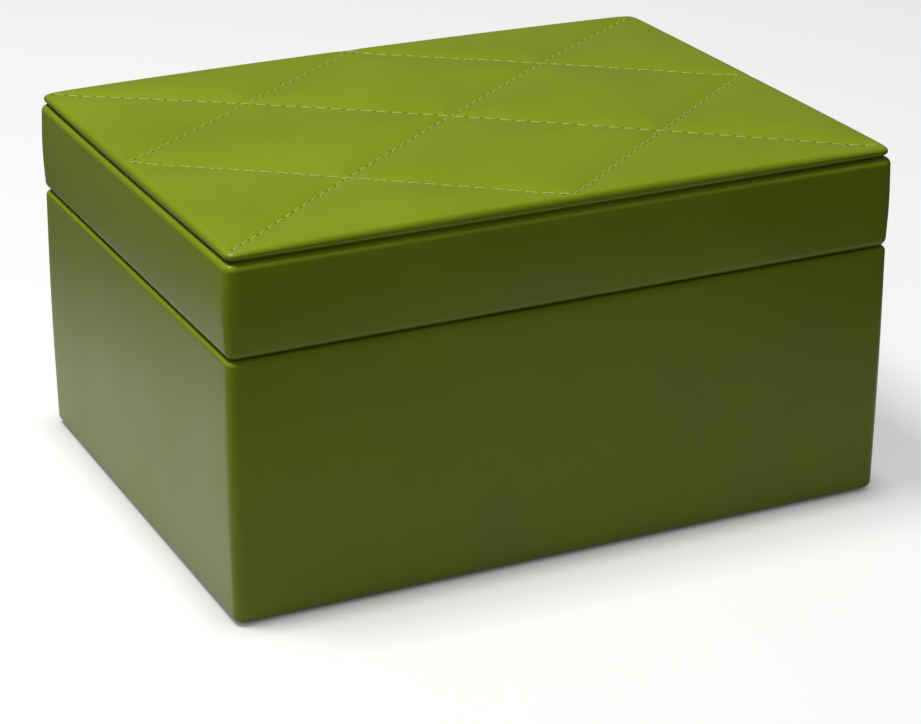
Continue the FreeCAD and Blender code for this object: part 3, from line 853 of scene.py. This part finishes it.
class LeatheretteWraps(bpy.types.Operator):
    """Makes the leatherette wraps of the base and of the lid."""

    bl_idname = "presentation_box.leatherette_wraps"
    bl_label = "Leatherette Wraps"

    def execute(self, context):
        sizes = context.scene.presentation_box_sizes
        material = shared(leatherette_material)
        lid_reach = 20 * MM  # grid on the lid's top, round the flat middle
        for body, roll, belly, reach, inward in (
                ("base", sizes.base_roll, sizes.base_belly, sizes.turn_under, -1),
                ("lid", sizes.rim_roll, sizes.lid_belly, lid_reach, 1)):
            node = f"{body}_leatherette"
            low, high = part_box(node)
            rim, end = (low.z, high.z)[::inward]
            shape = wrap_shape(sizes, roll, belly, np.array([high.x, high.y]), rim, end, reach)
            number = wrapped(np.arange(shape[..., 0].size).reshape(shape.shape[:2]), 1)
            if body == "base":
                faces = [quads(wrapped(number, 0))]
            else:
                middle = len(number) // 2
                tops = np.stack([number[middle, -2::-1], number[middle - 1, :-1]])
                faces = [quads(np.roll(number, -middle, 0)), tops]
            wrap = make_piece(
                f"{body}_wrap", shape.reshape(-1, 3), faces, material, body, [node])
            cut_hinge_seats(wrap, sizes, inward)
            wrap.data.set_sharp_from_angle(angle=math.radians(CREASE))
        return {"FINISHED"}


class QuiltedCover(bpy.types.Operator):
    """Makes the quilted cover of the lid's panel and its stitches."""

    bl_idname = "presentation_box.quilted_cover"
    bl_label = "Quilted Cover"

    def execute(self, context):
        sizes = context.scene.presentation_box_sizes
        quilt = Quilt(sizes)
        quilt.simulate()
        plan, faces, loop, _ = quilt.lattice(LATTICE)
        height = quilt.height(plan)
        holes = quilt.holes(plan)
        top = np.column_stack([plan, height - sizes.needle_hole * holes])
        points, faces = cushion(
            top, faces, loop, quilt.open_height, quilt.half, sizes.quilt_corner, sizes.quilt_roll,
            sizes.quilt_side, sizes.quilt_under, sizes.quilt_lift)
        points[:, 2] += quilt.foot
        points[:, :2] = quilt.settled(points[:, :2])
        cover = make_piece(
            "quilt_top", points, faces, shared(leatherette_material), "lid",
            ["quilt_cover", "quilt_foam"], SOFT_CREASE)
        # The needle holes' painted shade, half as much again, so that a hole is dark over its whole middle.
        set_attribute(cover, "needle_hole", np.concatenate([1.5 * holes, np.zeros(len(points) - len(holes))]))
        self.sew(quilt, sizes, shared(thread_material))
        return {"FINISHED"}

    def sew(self, quilt, sizes, material):
        """Every stitch as a short bent rod: rings of points along it, flattened, thinner and sunk at both ends.

        Its level falls with the fourth power of the place along it, and its thickness with the sixth.
        """
        around, places = 6, 7  # points of a ring, rings of a stitch
        slant = 0.06  # a stitch's turn from its seam
        ply = 0.6 * MM  # repeat of the twist
        short, long = SIDE_STITCHES, 2 * SIDE_STITCHES
        tip = np.array([[1, 0], [0, 1], [-1, 0], [0, -1]])
        corner = np.array([[-1, -1], [-1, 1]])
        following = np.roll(tip, -1, 0)
        starts = np.concatenate([np.repeat(tip, short, 0), np.repeat(corner, long, 0)]) * quilt.tips
        ends = np.concatenate([np.repeat(following, short, 0), np.repeat(-corner, long, 0)]) * quilt.tips
        order = np.concatenate([np.tile(np.arange(short) / short, 4), np.tile(np.arange(long) / long, 2)])
        pitch = quilt.side / SIDE_STITCHES
        along = (ends - starts) / np.linalg.norm(ends - starts, axis=1)[:, None]
        across = np.stack([-along[:, 1], along[:, 0]], 1)
        middle = starts + (ends - starts) * order[:, None] + along * pitch / 2
        run = np.linspace(-1, 1, places)
        reach = (pitch - sizes.stitch_gap) / 2
        plan = middle[:, None] + run[:, None] * reach * (along + slant * across)[:, None]
        radius = sizes.thread / 2
        level = quilt.foot + quilt.height(plan) + radius * (0.5 - 1.6 * run ** 4)
        plan = quilt.settled(plan)
        turn = 2 * np.pi * np.arange(around) / around
        thick = radius * (1 - 0.35 * run ** 6)
        side = thick[:, None] * np.cos(turn)
        up = 0.7 * thick[:, None] * np.sin(turn)
        points = np.concatenate([
            plan[:, :, None] + side[None, ..., None] * across[:, None, None],
            (level[..., None] + up)[..., None]], -1)
        number = np.arange(points[..., 0].size).reshape(points.shape[:3])
        faces = [quads(wrapped(number, 2)), np.concatenate([number[:, 0, ::-1], number[:, -1]])]
        mesh = make_piece(
            "quilting_stitches", points.reshape(-1, 3), faces, material, "lid").data
        vertex = np.empty(len(mesh.loops), np.int32)
        mesh.loops.foreach_get("vertex_index", vertex)
        lengthwise, turned = np.broadcast_arrays((run * reach / ply)[:, None], turn / (2 * np.pi), number)[:2]
        uv = np.stack([lengthwise.ravel()[vertex], turned.ravel()[vertex]], 1)
        layer = mesh.uv_layers.new(name="thread")
        layer.data.foreach_set("uv", uv.ravel().astype(np.float32))


class VelvetLinings(bpy.types.Operator):
    """Makes the velvet-covered lining cards of the base and of the lid."""

    bl_idname = "presentation_box.velvet_linings"
    bl_label = "Velvet Linings"

    def execute(self, context):
        sizes = context.scene.presentation_box_sizes
        material = shared(velvet_material)
        for body in ("base", "lid"):
            for side in SIDES:
                node = f"{body}_lining_{side}"
                low, high = (np.array(corner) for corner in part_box(node))
                points, faces = self.card(sizes, low, high, side)
                make_piece(f"{node}_velvet", points, faces, material, body, [node])
        return {"FINISHED"}

    def card(self, sizes, low, high, side):
        """A card with rolled edges, made flat with its face up and then stood against its wall."""
        wide, thin = (0, 1) if side in ("front", "back") else (1, 0)
        size = high - low
        half = np.array([size[wide], size[2]]) / 2
        roll = sizes.card_roll
        points, faces = plate(
            half, 1.5 * roll, lambda plan: np.full(plan.shape[:-1], size[thin]), roll, 0.99 * roll,
            size[thin] - 2 * roll, roll)
        centre = (low + high) / 2
        stood = np.empty_like(points)
        stood[:, wide] = centre[wide] + points[:, 0]
        stood[:, 2] = centre[2] + points[:, 1]
        stood[:, thin] = low[thin] + points[:, 2] if side in ("front", "left") else high[thin] - points[:, 2]
        return stood, faces


class VelvetPads(bpy.types.Operator):
    """Makes the padded velvet floor of the base and the padded velvet panel of the lid."""

    bl_idname = "presentation_box.velvet_pads"
    bl_label = "Velvet Pads"

    def execute(self, context):
        sizes = context.scene.presentation_box_sizes
        material = shared(velvet_material)
        edge = 0.6 * MM  # height of the upright side, and of the rolled lower edge
        for node, body in (("base_floor_pad", "base"), ("lid_lining_pad", "lid")):
            low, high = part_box(node)
            half = np.array([high.x, high.y])
            thick = high.z - low.z
            corner = sizes.pad_roll * 1.25

            def crowned(plan):
                """Falls from the middle as the square of the distance."""
                return thick - sizes.pad_crown * np.sum((plan / half) ** 2, -1) / 2

            points, faces = plate(half, corner, crowned, corner, sizes.pad_roll, edge, edge)
            points[:, 2] = low.z + points[:, 2] if body == "base" else high.z - points[:, 2]
            pad = make_piece(
                f"{node}_velvet", points, faces, material, body, [node], SOFT_CREASE)
        return {"FINISHED"}


class FeltSheet(bpy.types.Operator):
    """Makes the felt sheet under the base."""

    bl_idname = "presentation_box.felt_sheet"
    bl_label = "Felt Sheet"

    def execute(self, context):
        sizes = context.scene.presentation_box_sizes
        material = shared(felt_material)
        _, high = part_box("base_felt_sheet")
        half = np.array([high.x, high.y])
        margin = 5 * MM  # the felt's edge to the box's side
        slope = 3 * MM  # run over which the felt is drawn up
        roll = 0.3 * MM
        corner = 1.2 * MM
        thick = sizes.felt
        window = half - (sizes.turn_under - margin)

        def drawn_up(plan):
            """Falls in a smooth step from the edge, on the turned-under leatherette, to the window inside."""
            inside = np.clip((window - np.abs(plan)).min(-1) / slope, 0, 1)
            return thick - sizes.felt_dip * inside ** 2 * (3 - 2 * inside)

        points, faces = plate(half, MM, drawn_up, corner, roll, thick - 2 * roll, roll)
        points[:, 2] = thick - points[:, 2]
        felt = make_piece(
            "base_felt", points, faces, material, "base", ["base_felt_sheet"], SOFT_CREASE)
        return {"FINISHED"}


class BoardsAndHinges(bpy.types.Operator):
    """Gives the boards, the card and the hinges their materials."""

    bl_idname = "presentation_box.boards_and_hinges"
    bl_label = "Boards and Hinges"

    def execute(self, context):
        colours = context.scene.presentation_box_colours
        boards = board_material("Fibreboard, sanded", colours.fibreboard, 0.7 * MM)
        card = board_material("Grey card, pressed", colours.card, 0.5 * MM)
        walls = [f"base_{side}_board" for side in SIDES] + [f"lid_{side}_rail" for side in SIDES]
        dress_nodes(boards, "base_floor_board", "lid_top_board", *walls)
        dress_nodes(card, "quilt_board")
        metal = [f"hinge_{side}_{part}" for side in HINGES for part in ("base_leaf", "lid_leaf", "pin")]
        dress_nodes(shared(brass_material), "hinge_base_screws", "hinge_lid_screws", *metal)
        return {"FINISHED"}


OPERATORS = (Stage, LeatheretteWraps, QuiltedCover, VelvetLinings, VelvetPads, FeltSheet, BoardsAndHinges)


class PresentationBoxPanel(bpy.types.Panel):
    """Lists the steps that dress the presentation box."""

    bl_idname = "VIEW3D_PT_presentation_box"
    bl_label = "Presentation Box"
    bl_space_type = "VIEW_3D"
    bl_region_type = "UI"
    bl_category = "Presentation Box"

    def draw(self, context):
        for group in (context.scene.presentation_box_sizes, context.scene.presentation_box_colours):
            for name in type(group).__annotations__:
                self.layout.prop(group, name)
        for operator in OPERATORS:
            self.layout.operator(operator.bl_idname)


CLASSES = (PresentationBoxSizes, PresentationBoxColours, *OPERATORS, PresentationBoxPanel)


def register():
    for kind in CLASSES:
        bpy.utils.register_class(kind)
    bpy.types.Scene.presentation_box_sizes = bpy.props.PointerProperty(type=PresentationBoxSizes)
    bpy.types.Scene.presentation_box_colours = bpy.props.PointerProperty(type=PresentationBoxColours)


def unregister():
    del bpy.types.Scene.presentation_box_colours
    del bpy.types.Scene.presentation_box_sizes
    for kind in reversed(CLASSES):
        bpy.utils.unregister_class(kind)


def main():
    """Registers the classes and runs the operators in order."""
    register()
    for operator in OPERATORS:
        group, step = operator.bl_idname.split(".")
        getattr(getattr(bpy.ops, group), step)()


if __name__ == "__main__":
    main()
